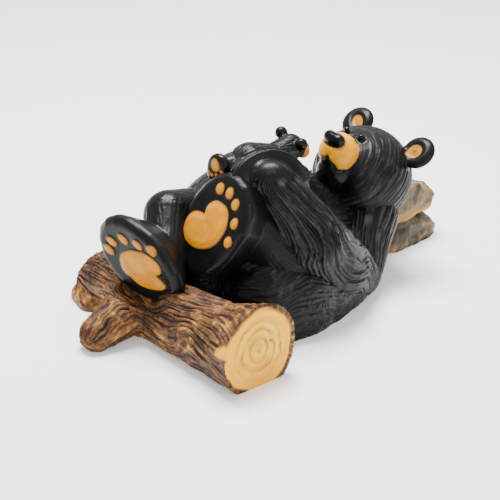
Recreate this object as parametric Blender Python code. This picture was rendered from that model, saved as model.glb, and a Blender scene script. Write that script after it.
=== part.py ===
"""A cast resin figurine: a black bear lies on its back with its heels on a log and its head on
two stones, and holds its cub on its belly. It is one casting, in metres, with +Z up.

+X runs from the soles to the head, +Y to the bear's right. The origin is on the flat underside,
below the middle of the bear's back.
"""

import bpy
import bmesh
import numpy as np
from math import cos, pi, radians, sin
from mathutils import Matrix, Vector

# Driving dimensions
BEAR_LENGTH = 0.190        # soles to the back of the head
LOG_LENGTH = 0.154
LOG_RADIUS_NEAR = 0.0245   # the cut end that faces the front
LOG_RADIUS_FAR = 0.0150
LOG_TURN = radians(-5.5)   # the log lies almost square to the bear
LOG_BITE = 0.008           # how far the log is sunk into the bear's rump
STUB_LENGTH = 0.034        # a broken branch, out from the log's side
STUB_RADIUS = 0.0125
LOWER_STONE_LENGTH = 0.059
LOWER_STONE_WIDTH = 0.056
LOWER_STONE_HEIGHT = 0.027
UPPER_STONE_LENGTH = 0.056
UPPER_STONE_WIDTH = 0.048
UPPER_STONE_HEIGHT = 0.029
STONE_LAP = 0.010          # how far the upper stone and the ground bed into the lower one
HEAD_BITE = 0.009          # how far the back of the head reaches over the upper stone

# How finely the joined form is meshed
VOXEL = 0.0013
SMOOTH_ROUNDS = 3
TRIANGLES = 9400

DRAWN_LENGTH = 190.0       # the length, in mm, that the figure's places and radii are drawn at
FIGURE = BEAR_LENGTH / DRAWN_LENGTH


def clear_scene():
    for obj in list(bpy.data.objects):
        bpy.data.objects.remove(obj, do_unlink=True)


def at(x, y, z):
    """A place on the figure, drawn in mm."""
    return Vector((x, y, z)) * FIGURE


class Form:
    """Closed shells that overlap, gathered in one mesh to be joined later."""

    def __init__(self):
        self.bm = bmesh.new()

    def add(self, vertices):
        """One convex shell round the points."""
        made = [self.bm.verts.new(v) for v in vertices]
        hull = bmesh.ops.convex_hull(self.bm, input=made)
        loose = {e for e in hull["geom_interior"] + hull["geom_unused"] if isinstance(e, bmesh.types.BMVert)}
        bmesh.ops.delete(self.bm, geom=list(loose), context="VERTS")

    def ball(self, centre, radii, axes=None):
        """An ellipsoid. axes holds its three directions as columns."""
        self.add(ball_points(centre, radii, axes))

    def hull(self, *balls):
        """The convex hull of several (centre, radius) balls."""
        self.add([p for centre, radius in balls for p in ball_points(centre, radius)])

    def limb(self, *joints):
        """Tapering round stretches from each (centre, radius) to the next."""
        for first, second in zip(joints, joints[1:]):
            self.hull(first, second)


def ball_points(centre, radii, axes=None, detail=3):
    radii = Vector((radii,) * 3) if isinstance(radii, (int, float)) else Vector(radii)
    turn = axes.to_4x4() if axes else Matrix.Identity(4)
    place = Matrix.Translation(centre) @ turn @ Matrix.Diagonal(radii.to_4d())
    unit = bmesh.new()
    bmesh.ops.create_icosphere(unit, subdivisions=detail, radius=1)
    points = [place @ v.co for v in unit.verts]
    unit.free()
    return points


def frame_of(forward, normal):
    """Axes as columns: forward, across and normal, made square to each other."""
    x = Vector(forward).normalized()
    z = Vector(normal)
    z = (z - z.dot(x) * x).normalized()
    return Matrix((x, z.cross(x), z)).transposed()


# The adult bear

HEAD = at(62.5, -16, 59)
HEAD_RADIUS = 30.3
HEAD_ROLL = radians(11)
FACE = Vector((-0.69, -0.03, 0.72)).normalized()
CROWN = Vector((0, cos(HEAD_ROLL), sin(HEAD_ROLL))).cross(FACE).normalized()
BEAR_RIGHT = FACE.cross(CROWN)
# Each foot's sole: its middle, the way to the toes, the way it faces, and then its thickness in mm
# and how much narrower its back is
FEET = {
    "far": (at(-97, 12, 44), (-0.11, 0.88, 0.47), (-1.0, -0.10, -0.15), 19, 0.72),
    "near": (at(-66, -16, 66), (0.37, -0.26, 0.89), (-1.0, 0.0, 0.40), 25, 0.92),
}


def on_head(face, right, crown):
    """A place on the head: so far out along the face, to the bear's right and to the crown, in mm."""
    return HEAD + (FACE * face + BEAR_RIGHT * right + CROWN * crown) * FIGURE


def torso(form):
    s = FIGURE
    form.ball(at(-16, 2, 43), Vector((50, 45, 40)) * s)
    form.ball(at(-24, -31, 14), Vector((42, 31, 38)) * s)
    form.ball(at(-24, 24, 14), Vector((42, 31, 38)) * s)
    form.ball(at(8, -30, 14), Vector((40, 28, 32)) * s)
    form.ball(at(8, 22, 14), Vector((40, 28, 32)) * s)
    form.hull((at(20, -8, 36), 38 * s), (at(48, -12, 38), 26 * s))
    form.hull((at(-40, -4, 4), 18 * s), (at(24, -4, 4), 20 * s), (at(0, -4, 30), 20 * s))


def leg(form, hip, knee, foot_name):
    s = FIGURE
    centre, forward, normal, thickness, taper = FEET[foot_name]
    axes = frame_of(forward, normal)
    ankle = centre - axes.col[2] * 16 * s - axes.col[0] * 8 * s
    form.limb((hip, 25 * s), (knee, 15 * s))
    form.limb((knee, 15 * s), (ankle, 14 * s))
    foot(form, centre, axes, thickness, taper)


def foot(form, centre, axes, thickness, taper):
    """A thick flat-soled paw: the hull of balls round its edge, toe end wider than the heel."""
    s = FIGURE
    forward, across, normal = axes.col
    edge = 5.0
    balls = []
    for share in range(12):
        turn = 2 * pi * share / 12
        wide = 23 if cos(turn) > 0 else 20
        reach = Vector((32 * cos(turn), wide * sin(turn)))
        reach *= 1 - edge / reach.length
        for depth, share_left in ((edge, 1), (thickness - edge, taper)):
            across_foot = (forward * reach.x + across * reach.y) * share_left
            place = centre + (across_foot - normal * depth) * s
            balls.append((place, edge * s))
    form.hull(*balls)


def near_arm(form):
    s = FIGURE
    elbow = at(28.5, -44, 12)
    form.limb((elbow, 13 * s), (at(7, -46, 27), 19.5 * s), (at(-15, -45, 49), 20.5 * s), (at(-32, -32, 86), 13 * s))
    form.limb((elbow, 13 * s), (at(54, -31, 39), 17 * s))
    form.ball(at(-36, -33, 93), Vector((12, 11, 12)) * s)
    form.ball(at(-33, -23, 88), Vector((19, 18, 8)) * s, frame_of((1, -0.3, 0), (-0.3, -1, 0.3)))


def far_arm(form):
    s = FIGURE
    elbow = at(34, 36, 12)
    form.limb((elbow, 13 * s), (at(10, 34, 42), 16 * s), (at(-14, 22, 70), 13 * s))
    form.limb((elbow, 13 * s), (at(54, 14, 39), 17 * s))
    form.ball(at(-18, 16, 76), Vector((17, 14, 9)) * s, frame_of((1, 0, 0), (0, 1, 0.6)))


def head(form):
    s = FIGURE
    form.ball(HEAD, HEAD_RADIUS * s)
    form.limb((at(40, -10, 42), 28 * s), (HEAD, 26 * s))
    form.ball(on_head(31, -1, -0.7), 12.4 * s)
    form.limb((on_head(41, -3.0, 2), 3.9 * s), (on_head(41, 3.0, 2), 3.9 * s))
    for side in (-1, 1):
        form.ball(on_head(25.5, side * 6, 15), 2.6 * s)
        centre, axes = ear_place(side)
        form.ball(centre, Vector((11, 11, 4.5)) * s, axes)
        form.limb((centre - axes.col[0] * 10 * s, 6 * s), (HEAD, 6 * s))


def ear_place(side):
    """An ear's centre, and its axes: outwards, across and the way it faces."""
    out = BEAR_RIGHT * side + CROWN * 0.9
    return on_head(2, side * 25.5, 28), frame_of(out, FACE)


# The cub

def cub(form):
    s = FIGURE
    rump = at(-25, -6, 89)
    chest = at(-8, -8, 86)
    skull = at(6.5, -9, 90.3)
    form.limb((rump, 12 * s), (chest, 10 * s), (skull, 8.5 * s))
    form.ball(skull + at(8.6, -2, -5.6), 5.5 * s)
    form.ball(skull + at(13, -1.5, -3.6), 2.0 * s)
    for side in (-1, 1):
        form.ball(skull + at(-0.4 * side, side * 7, 5.7 + 1.5 * side), 3.6 * s)
        form.limb((rump, 9 * s), (at(-40, -6 + side * 8, 86), 8 * s))
        form.limb((chest, 8 * s), (at(2, -8 + side * 12, 78), 6 * s))
    form.ball(at(-46, 1, 89.5), Vector((8.5, 6.5, 5)) * s, frame_of((0, 0.2, 1), (-1, 0, 0)))


# The log and the stones

RUMP = at(-66, 0, 0)
LOG_PLACE = RUMP + Vector((LOG_BITE - LOG_RADIUS_NEAR, 0, 0))
FLARE = 0.18               # the share of the length over which the near end narrows
FAR_END_SLANT = 0.35       # the far end is broken off at a slant
LOG_BOW = 0.0035           # how far its middle bows out to the front
LOG_BEDDING = 0.0015       # how much of its round underside is cut off flat


def log_section(centre, turn, radius, slant):
    """A ring of points: a circle above, squarer below, where the log beds down flat."""
    points = []
    for step in range(32):
        a = 2 * pi * step / 32
        squareness = 1 if sin(a) > 0 else 0.45
        x = radius * abs(cos(a)) ** squareness * (1 if cos(a) > 0 else -1)
        z = radius * sin(a)
        points.append(centre + turn @ Vector((x, -slant * (z + radius), z)))
    return points


def log(form):
    turn = Matrix.Rotation(LOG_TURN, 3, "Z")
    run = turn @ Vector((0, 1, 0))
    narrow = LOG_RADIUS_NEAR * 0.79
    middle = (narrow + LOG_RADIUS_FAR) / 2
    stations = (
        (0, LOG_RADIUS_NEAR, 0), (FLARE, narrow, 0), (0.55, middle, 0), (1, LOG_RADIUS_FAR, FAR_END_SLANT),
    )
    rings = []
    for share, radius, slant in stations:
        place = LOG_PLACE + run * LOG_LENGTH * (share - 0.5)
        place += Vector((-LOG_BOW * sin(pi * share), 0, radius - LOG_BEDDING))
        rings.append(log_section(place, turn, radius, slant))
    for first, second in zip(rings, rings[1:]):
        form.add(first + second)
    spread = LOG_PLACE + run * LOG_LENGTH * 0.42
    form.hull(
        (spread + Vector((-0.010, 0.006, 0.002)), 0.008),
        (spread + Vector((-0.014, -0.006, 0.001)), 0.0085),
        (spread + Vector((-0.004, -0.004, 0.006)), 0.009),
    )
    root = LOG_PLACE + Vector((-0.010, 0.017, LOG_RADIUS_NEAR * 0.68))
    tip = root + Vector((-STUB_LENGTH * 0.86, 0.001, -STUB_LENGTH * 0.26))
    form.hull((root, STUB_RADIUS * 1.1), (tip, STUB_RADIUS * 0.76))


def stones_start():
    """The stones' corner on the ground: the head's underside overhangs the upper stone by HEAD_BITE."""
    top = LOWER_STONE_HEIGHT - STONE_LAP + UPPER_STONE_HEIGHT
    radius = HEAD_RADIUS * FIGURE
    drop = min(abs(HEAD.z - top), radius * 0.8)
    return Vector((HEAD.x + (radius ** 2 - drop ** 2) ** 0.5 - HEAD_BITE, HEAD.y - LOWER_STONE_WIDTH * 0.21, 0))


def stone(form, corner, size, crown, rounding=0.005):
    """A blocky stone: a hull that leans in above, over a slightly wider foot."""
    length, width, height = size
    places = []
    for i, j in ((0, 0), (1, 0), (1, 1), (0, 1)):
        foot_place = Vector((i * length, j * width, 0))
        top_place = Vector(((0.03 + i * (crown - 0.03)) * length, (0.06 + j * 0.84) * width, height * (1 - 0.4 * i)))
        mid_place = Vector(((0.0 + i * 1.02) * length, (0.02 + j * 0.96) * width, height * (0.55 - 0.1 * i)))
        places += [foot_place, top_place, mid_place]
    inset = Vector((length, width, height)) / 2
    shrink = 1 - rounding / min(inset)
    form.hull(*[(corner + inset + (place - inset) * shrink, rounding) for place in places])


def stones(form):
    lower = (LOWER_STONE_LENGTH, LOWER_STONE_WIDTH, LOWER_STONE_HEIGHT)
    upper = (UPPER_STONE_LENGTH, UPPER_STONE_WIDTH, UPPER_STONE_HEIGHT)
    start = stones_start()
    stone(form, start - Vector((0, 0, STONE_LAP * 0.6)), lower, 1.0)
    stone(form, start + Vector((0, 0.003, LOWER_STONE_HEIGHT - STONE_LAP)), upper, 0.72)


# The carving that shows from a step away: each function gives how far out each place moves, in drawn mm

def seen_from(places, origin, axes):
    """Each place's three coordinates along the axes, in drawn mm."""
    return ((places - np.array(origin)) @ np.array(axes) / FIGURE).T


def inside(distance, soft=1.0):
    """1 inside an outline and 0 outside it, with a soft edge."""
    return np.clip(0.5 - distance / soft, 0, 1)


def disc(u, v, centre, radius):
    return np.hypot(u - centre[0], v - centre[1]) - radius


# Toe pads and the lobes of the large pad, as (along the foot, across it) and radius
TOES = {
    "far": ((20, 7), (20, 0), (14, -8), (4, -14), (-6, -18)),
    "near": ((20, 5), (21, -3), (18, -10), (9, -15), (-1, -17)),
}
PAD_LOBES = {
    "far": ((3.5, 1.5, 8.7), (-6, -6, 5), (-12, -10, 5), (-11, 3.5, 5.5), (-17, 0.5, 5.2)),
    "near": ((5.5, -1, 8.5), (-6.5, 10, 8.5), (-8.5, 0.5, 6.5)),
}
TOE_RADIUS = 3.2


def pads(places, normals):
    raised = np.zeros(len(places))
    for name, (centre, forward, normal, thickness, taper) in FEET.items():
        axes = frame_of(forward, normal)
        u, v, w = seen_from(places, centre, axes)
        on_sole = (abs(w) < 4) & (normals @ np.array(axes.col[2]) > 0.7)
        outline = np.minimum.reduce([disc(u, v, (a, b), r) for a, b, r in PAD_LOBES[name]])
        toes = np.minimum.reduce([disc(u, v, place, TOE_RADIUS) for place in TOES[name]])
        raised += on_sole * (1.3 * inside(outline, 2.5) + 1.6 * inside(toes, 2.5))
    return raised


def ear_dishes(places, normals):
    sunk = np.zeros(len(places))
    for side in (-1, 1):
        centre, axes = ear_place(side)
        u, v, w = seen_from(places, centre, axes)
        front = (w > 0) & (w < 8) & (normals @ np.array(FACE) > 0.3)
        sunk -= front * 2.6 * np.clip(1 - (np.hypot(u - 1, v) / 8) ** 2, 0, 1)
    return sunk


def ruff(places, normals):
    """Two soft folds that run from the brow round the cheeks to the chin."""
    face, right, crown = seen_from(places, HEAD, Matrix((FACE, BEAR_RIGHT, CROWN)).transposed())
    around = np.hypot(right, crown - 2)
    on_face = (face > 2) & (abs(np.sqrt(face ** 2 + right ** 2 + crown ** 2) - 30) < 5)
    return on_face * (1.3 * np.exp(-((around - 21) / 1.8) ** 2) + 0.9 * np.exp(-((around - 27) / 1.6) ** 2))


def tufts(places, normals, start, end, reach, spacing, depth):
    """Long wavy locks down a limb."""
    axes = frame_of(end - start, (-0.5, -0.8, 0.2))
    u, v, w = seen_from(places, start, axes)
    length = (end - start).length / FIGURE
    over = np.clip(np.minimum(u + 4, length - u) / 6, 0, 1) * (np.hypot(v, w) < reach)
    around = np.arctan2(v, w) * reach * 0.8
    return -over * depth * np.abs(np.cos(pi * around / spacing + 0.7 * np.sin(u / 8))) ** 6


def bark(places, normals):
    turn = Matrix.Rotation(LOG_TURN, 3, "Z")
    u, v, w = seen_from(places, LOG_PLACE + Vector((0, 0, LOG_RADIUS_NEAR * 0.8)), turn)
    half = LOG_LENGTH / 2 / FIGURE
    outer = abs(normals @ np.array(turn.col[1])) < 0.7
    on_log = (abs(v) < half) & (np.hypot(u, w) < 26) & outer
    ridges = np.sin(9 * np.arctan2(w, u) + 1.2 * np.sin(v / 11)) * 1.1
    cut_face = (v < -half + 1.5) & (normals @ np.array(turn.col[1]) < -0.8)
    rings = 0.7 * np.cos(2 * pi * np.hypot(u, w) / 8)
    return on_log * ridges + cut_face * (np.hypot(u, w) < 18) * rings


def carve(obj):
    mesh = obj.data
    places = np.empty(len(mesh.vertices) * 3)
    mesh.vertices.foreach_get("co", places)
    places = places.reshape(-1, 3)
    normals = np.array([normal.vector for normal in mesh.vertex_normals])
    out = pads(places, normals) + ear_dishes(places, normals) + ruff(places, normals) + bark(places, normals)
    out += tufts(places, normals, at(7, -46, 27), at(-32, -32, 86), 26, 8.5, 1.9)
    out += tufts(places, normals, at(34, -40, 20), at(56, -30, 42), 21, 8.5, 1.6)
    places += normals * (out * FIGURE)[:, None]
    mesh.vertices.foreach_set("co", places.ravel())
    mesh.update()


def resin_material():
    """Black paint over resin, the figurine's main finish."""
    mat = bpy.data.materials.new("painted_resin")
    mat.use_nodes = True
    shader = mat.node_tree.nodes["Principled BSDF"]
    shader.inputs["Base Color"].default_value = (0.02, 0.02, 0.022, 1)
    shader.inputs["Roughness"].default_value = 0.38
    shader.inputs["Metallic"].default_value = 0
    return mat


def evaluated_mesh(obj):
    graph = bpy.context.evaluated_depsgraph_get()
    return bpy.data.meshes.new_from_object(obj.evaluated_get(graph), depsgraph=graph)


def joined(form, name):
    """The shells as one smooth surface."""
    mesh = bpy.data.meshes.new(name)
    form.bm.to_mesh(mesh)
    form.bm.free()
    obj = bpy.data.objects.new(name, mesh)
    bpy.context.collection.objects.link(obj)
    remesh = obj.modifiers.new("Join", "REMESH")
    remesh.mode = "VOXEL"
    remesh.voxel_size = VOXEL
    smooth = obj.modifiers.new("Soften", "SMOOTH")
    smooth.factor = 0.5
    smooth.iterations = SMOOTH_ROUNDS
    obj.data = evaluated_mesh(obj)
    obj.modifiers.clear()
    return obj


def reduced(obj, triangles):
    """Fewer triangles, for a light solid."""
    count = sum(len(p.vertices) - 2 for p in obj.data.polygons)
    decimate = obj.modifiers.new("Reduce", "DECIMATE")
    decimate.ratio = triangles / count
    obj.data = evaluated_mesh(obj)
    obj.modifiers.clear()


def without_bubbles(obj):
    """Fills each pocket closed off inside the form: a shell that faces inwards has a volume below 0."""
    bm = bmesh.new()
    bm.from_mesh(obj.data)
    waiting = set(bm.verts)
    while waiting:
        shell = {waiting.pop()}
        edge_of_shell = list(shell)
        while edge_of_shell:
            vert = edge_of_shell.pop()
            found = {edge.other_vert(vert) for edge in vert.link_edges} - shell
            shell |= found
            edge_of_shell += found
        waiting -= shell
        faces = {face for vert in shell for face in vert.link_faces}
        volume = sum(face.calc_center_median().dot(face.normal) * face.calc_area() for face in faces) / 3
        if volume <= VOXEL ** 3:
            bmesh.ops.delete(bm, geom=list(shell), context="VERTS")
    bm.to_mesh(obj.data)
    bm.free()


def cut_flat(obj):
    """Everything below the ground is cut away, and the underside closed flat."""
    bm = bmesh.new()
    bm.from_mesh(obj.data)
    geom = bm.verts[:] + bm.edges[:] + bm.faces[:]
    bmesh.ops.bisect_plane(bm, geom=geom, plane_co=(0, 0, 0), plane_no=(0, 0, 1), clear_inner=True)
    rim = [e for e in bm.edges if e.is_boundary]
    bmesh.ops.triangle_fill(bm, edges=rim, use_beauty=True, use_dissolve=False, normal=(0, 0, -1))
    bmesh.ops.recalc_face_normals(bm, faces=bm.faces[:])
    bm.to_mesh(obj.data)
    bm.free()


def build():
    clear_scene()
    form = Form()
    torso(form)
    leg(form, at(-24, 18, 42), at(-62, 22, 60), "far")
    leg(form, at(-24, -30, 38), at(-40, -26, 60), "near")
    near_arm(form)
    far_arm(form)
    head(form)
    cub(form)
    log(form)
    stones(form)
    obj = joined(form, "bear_figurine")
    carve(obj)
    reduced(obj, TRIANGLES)
    without_bubbles(obj)
    cut_flat(obj)
    obj.data.materials.clear()
    obj.data.materials.append(resin_material())
    obj.data.shade_smooth()


build()
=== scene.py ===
"""Looks for the bear figurine: carved fur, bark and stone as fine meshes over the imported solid."""

import bmesh
import bpy
import numpy as np
from collections import namedtuple
from math import cos, pi, radians, sin
from mathutils import Matrix, Vector


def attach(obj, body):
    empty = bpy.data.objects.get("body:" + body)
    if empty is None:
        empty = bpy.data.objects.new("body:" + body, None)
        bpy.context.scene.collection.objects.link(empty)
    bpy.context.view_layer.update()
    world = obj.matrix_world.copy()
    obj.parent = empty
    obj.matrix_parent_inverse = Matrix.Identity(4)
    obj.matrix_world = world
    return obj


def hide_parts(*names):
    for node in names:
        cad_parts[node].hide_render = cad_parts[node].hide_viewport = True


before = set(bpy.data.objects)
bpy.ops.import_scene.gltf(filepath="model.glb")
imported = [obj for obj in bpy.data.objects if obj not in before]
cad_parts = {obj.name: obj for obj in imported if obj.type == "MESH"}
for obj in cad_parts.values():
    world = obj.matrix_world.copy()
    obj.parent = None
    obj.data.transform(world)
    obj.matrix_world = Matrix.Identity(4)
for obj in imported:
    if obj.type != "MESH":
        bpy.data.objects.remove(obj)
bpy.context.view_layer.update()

MM = 0.001
NODE = "bear_figurine"

# The lowest place of a piece in mm, just clear of the floor
LOWEST = 0.05

# The value gold where no ochre paint is near; it counts the mm inside a painted patch
NO_GOLD = -5.0


def vec(x, y, z):
    """A place in mm, as the figure is drawn."""
    return Vector((x, y, z))


# Shells

class Form:
    """Closed convex shells in mm, gathered to be joined by a voxel remesh."""

    def __init__(self):
        self.bm = bmesh.new()

    def add(self, points):
        made = [self.bm.verts.new(p) for p in points]
        hull = bmesh.ops.convex_hull(self.bm, input=made)
        unused = hull["geom_interior"] + hull["geom_unused"]
        loose = {e for e in unused if isinstance(e, bmesh.types.BMVert)}
        bmesh.ops.delete(self.bm, geom=list(loose), context="VERTS")

    def ball(self, centre, radii, axes=None):
        self.add(ball_points(centre, radii, axes, 4))

    def hull(self, *balls):
        self.add([p for centre, radius in balls for p in ball_points(centre, radius)])

    def limb(self, *joints):
        for first, second in zip(joints, joints[1:]):
            self.hull(first, second)


def ball_points(centre, radii, axes=None, detail=3):
    radii = Vector((radii,) * 3) if isinstance(radii, (int, float)) else Vector(radii)
    turn = axes.to_4x4() if axes else Matrix.Identity(4)
    place = Matrix.Translation(centre) @ turn @ Matrix.Diagonal(radii.to_4d())
    unit = bmesh.new()
    bmesh.ops.create_icosphere(unit, subdivisions=detail, radius=1)
    points = [place @ v.co for v in unit.verts]
    unit.free()
    return points


def frame_of(forward, normal):
    """Axes as columns: forward, across and normal, made square to each other."""
    x = Vector(forward).normalized()
    z = Vector(normal)
    z = (z - z.dot(x) * x).normalized()
    return Matrix((x, z.cross(x), z)).transposed()


class Skin:
    """One piece's surface: its places and normals in mm, and the values its material reads."""

    def __init__(self, form, name, voxel, rounds):
        mesh = bpy.data.meshes.new(name)
        form.bm.to_mesh(mesh)
        form.bm.free()
        self.obj = bpy.data.objects.new(name, mesh)
        bpy.context.collection.objects.link(self.obj)
        remesh = self.obj.modifiers.new("Join", "REMESH")
        remesh.mode = "VOXEL"
        remesh.voxel_size = voxel
        smooth = self.obj.modifiers.new("Soften", "SMOOTH")
        smooth.factor = 0.5
        smooth.iterations = rounds
        graph = bpy.context.evaluated_depsgraph_get()
        self.obj.data = bpy.data.meshes.new_from_object(self.obj.evaluated_get(graph), depsgraph=graph)
        self.obj.modifiers.clear()
        self.values = {}
        self.read()

    def read(self):
        mesh = self.obj.data
        self.places = np.empty(len(mesh.vertices) * 3)
        mesh.vertices.foreach_get("co", self.places)
        self.places = self.places.reshape(-1, 3)
        normals = np.empty(len(mesh.vertices) * 3)
        mesh.vertex_normals.foreach_get("vector", normals)
        self.normals = normals.reshape(-1, 3)

    def push(self, height):
        """Moves each place out along its normal, by so many mm."""
        self.write(self.places + self.normals * np.asarray(height)[:, None])

    def write(self, places):
        mesh = self.obj.data
        mesh.vertices.foreach_set("co", np.ascontiguousarray(places).ravel())
        mesh.update()
        self.read()

    def finish(self, material, slot):
        """Scales to metres, keeps the values as attributes, and hands the piece to the frame."""
        mesh = self.obj.data
        places = self.places.copy()
        places[:, 2] = np.maximum(places[:, 2], LOWEST)
        mesh.vertices.foreach_set("co", (places * MM).ravel())
        mesh.update()
        for name, value in self.values.items():
            layer = mesh.attributes.new(name, "FLOAT", "POINT")
            layer.data.foreach_set("value", np.ascontiguousarray(value, np.float32))
        mesh.materials.clear()
        mesh.materials.append(material)
        mesh.shade_smooth()
        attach(self.obj, "root")
        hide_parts(NODE)


# Measures, noise and strokes

def smooth_step(x, low, high):
    """0 at low and beyond, 1 at high and beyond."""
    t = np.clip((x - low) / (high - low), 0, 1)
    return t * t * (3 - 2 * t)


def peak(x, centre, width):
    """1 where x is at the centre, falling to 0 within about two widths on either side."""
    return np.exp(-((x - centre) / width) ** 2)


def distance(places, centre):
    return np.linalg.norm(places - np.array(centre), axis=1)


def ellipsoid(u, v, w, radii):
    """How far out each place lies: 1 on the ellipsoid, less inside it."""
    return np.sqrt((u / radii[0]) ** 2 + (v / radii[1]) ** 2 + (w / radii[2]) ** 2)


def seen_from(places, origin, axes):
    """Three rows: how far each place lies from the origin along each of the axes."""
    return ((places - np.array(origin)) @ np.array(axes)).T


HASH_STEPS = (127.1, 311.7, 74.7)
HASH_SCALE = 43758.5453
SEED_SHIFT = 17.3


def hash01(i, j, k):
    """Settled noise from 0 to 1 for three numbers, the same on each run."""
    n = np.sin(i * HASH_STEPS[0] + j * HASH_STEPS[1] + k * HASH_STEPS[2]) * HASH_SCALE
    return n - np.floor(n)


def noise3(places, scale, seed):
    """Smooth noise from -1 to 1, with features about scale mm across."""
    p = places / scale + seed * SEED_SHIFT
    cell = np.floor(p)
    f = p - cell
    f = f * f * (3 - 2 * f)
    total = 0
    for dx in (0, 1):
        for dy in (0, 1):
            for dz in (0, 1):
                weight = abs(1 - dx - f[:, 0]) * abs(1 - dy - f[:, 1]) * abs(1 - dz - f[:, 2])
                total = total + weight * hash01(cell[:, 0] + dx, cell[:, 1] + dy, cell[:, 2] + dz)
    return total * 2 - 1


LOCK_TOP = 0.85


def strokes(along, column, length, seed, width=0.09):
    """Carved fur: LOCK_TOP on the smooth locks, falling to 0 in long cuts that taper at both ends."""
    cut = np.zeros_like(along)
    lift = np.zeros_like(along)
    for layer, kept in ((0, 0.12), (1, 0.45)):
        a = column + layer * 0.5
        i = np.floor(a + 0.5)
        b = along / (length * (0.75 + 0.5 * hash01(i, layer, seed))) + hash01(i, layer + 5, seed) * 7
        j = np.floor(b)
        s = b - j
        taper = (hash01(i, j, seed + layer + 2) > kept) * np.clip(4 * s * (1 - s), 0, 1) ** 0.6
        beside = a - i - (hash01(i, j, seed + 8 + layer) - 0.5) * 0.5 * (s - 0.5)
        line = taper * np.exp(-(beside / (width * (0.6 + taper))) ** 2)
        cut = np.maximum(cut, line * (1 - 0.3 * layer))
        lift += taper * (0.5 - np.abs(beside)) * np.sign(beside) * 0.5 * (1 - 0.5 * layer)
    return np.clip(LOCK_TOP * (1 - cut) + 0.45 * lift, 0, 1.2)


class Bone:
    """A line in the figure that fur runs along, from start to end, with its tips pointing to the end.

    radii are the body's at both ends, columns the locks round it, length a lock's own, and depths
    the mm of the broad, the middle and the fine cuts. bend sways the locks sideways.
    """

    def __init__(self, start, end, radii, columns, length, depths, bend=0.6, up=(0, 0, 1)):
        self.start = np.array(start)
        self.reach = (Vector(end) - Vector(start)).length
        self.axes = np.array(frame_of(Vector(end) - Vector(start), up))
        self.radii = radii
        self.columns = columns
        self.length = length
        self.depths = depths
        self.bend = bend

    def see(self, places):
        """How far along the bone each place lies, its turn about it, and its gap from the body."""
        u, v, w = ((places - self.start) @ self.axes).T
        share = np.clip(u / self.reach, 0, 1)
        radius = self.radii[0] + (self.radii[1] - self.radii[0]) * share
        gap = np.sqrt((u - share * self.reach) ** 2 + v ** 2 + w ** 2) - radius
        return u, np.arctan2(v, w) / (2 * pi), gap


def fur(places, bones, seed, sharp=0.9):
    """The fur's height in mm and its share of full height, blended between the bones."""
    total = np.zeros(len(places))
    share = np.zeros(len(places))
    weights = np.full(len(places), 1e-30)
    sway = noise3(places, 30, seed)
    drift = noise3(places, 11, seed + 3)
    for n, bone in enumerate(bones):
        u, turn, gap = bone.see(places)
        column = turn * bone.columns + bone.bend * np.sin(u / 8.5 + 1.5 * sway) + 0.28 * drift
        levels = (
            strokes(u, column * 0.5 + 0.3, bone.length * 1.4, seed + n + 5, 0.06),
            strokes(u, column, bone.length, seed + n),
            strokes(u, column * 2.1 + 0.25, bone.length * 0.6, seed + n + 9, 0.14),
        )
        weight = np.exp(-np.clip(gap, -30, 30) / sharp)
        weights += weight
        for depth, level in zip(bone.depths, levels):
            total += weight * depth * (level - LOCK_TOP)
            share += weight * depth * level / sum(bone.depths)
    return total / weights, share / weights


# The figure's places and sizes in mm, most of them as in the solid's source

PHOTO_AXES = frame_of((0.69, -0.72, 0), (-0.65, -0.63, 0.42))

HEAD = vec(62.5, -16, 59)
HEAD_RADIUS = 30.3
HEAD_ROLL = radians(11)
FACE = Vector((-0.69, -0.03, 0.72)).normalized()
CROWN = Vector((0, cos(HEAD_ROLL), sin(HEAD_ROLL))).cross(FACE).normalized()
BEAR_RIGHT = FACE.cross(CROWN)
HEAD_AXES = Matrix((FACE, BEAR_RIGHT, CROWN)).transposed()


def on_head(face, right, crown):
    return HEAD + FACE * face + BEAR_RIGHT * right + CROWN * crown


MUZZLE = on_head(31, 1, -1.7)
MUZZLE_RADIUS = 12.3
SNOUT = on_head(34, 0.5, -1)
SNOUT_RADIUS = 10.5
JAW = on_head(24, 0, -11)
JAW_RADIUS = 11.5
NOSE = on_head(42.6, 0, 1.6)
NOSE_HALF = 3.7
NOSE_REACH = (8.0, 5.3, 6.0)
EYE_RADIUS = 2.4
EYE_EDGE = 3.7
SOCKET_RADIUS = 4.1
EAR_RADII = (11, 11, 4.8)
NECK = (vec(46, -7, 36), 21)
HEAD_LOCK = 3.6
RUFF_INNER = 18.3
RUFF_OUTER = 22.5
RUFF_WIDTH = 0.6

TRUNK_BALLS = (
    (vec(-16, 2, 43), (50, 45, 40)),
    (vec(-24, -31, 14), (42, 31, 38)),
    (vec(-24, 24, 14), (42, 31, 38)),
    (vec(8, -30, 14), (40, 28, 32)),
    (vec(-9, -30.5, 13), (42, 30, 35)),
    (vec(8, 22, 14), (40, 28, 32)),
)
CHEST = ((vec(14, -1, 34), 36), (vec(48, -7, 33), 25))
UNDERSIDE = ((vec(-40, -4, 4), 18), (vec(24, -4, 4), 20), (vec(0, -4, 30), 20))
TALLY_PLACE = vec(-27, -61, 14)
TALLY_ROW = 5
TALLY_STEP = 2.1
TALLY_REACH = 8
TALLY_DEPTH = 0.8

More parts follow.
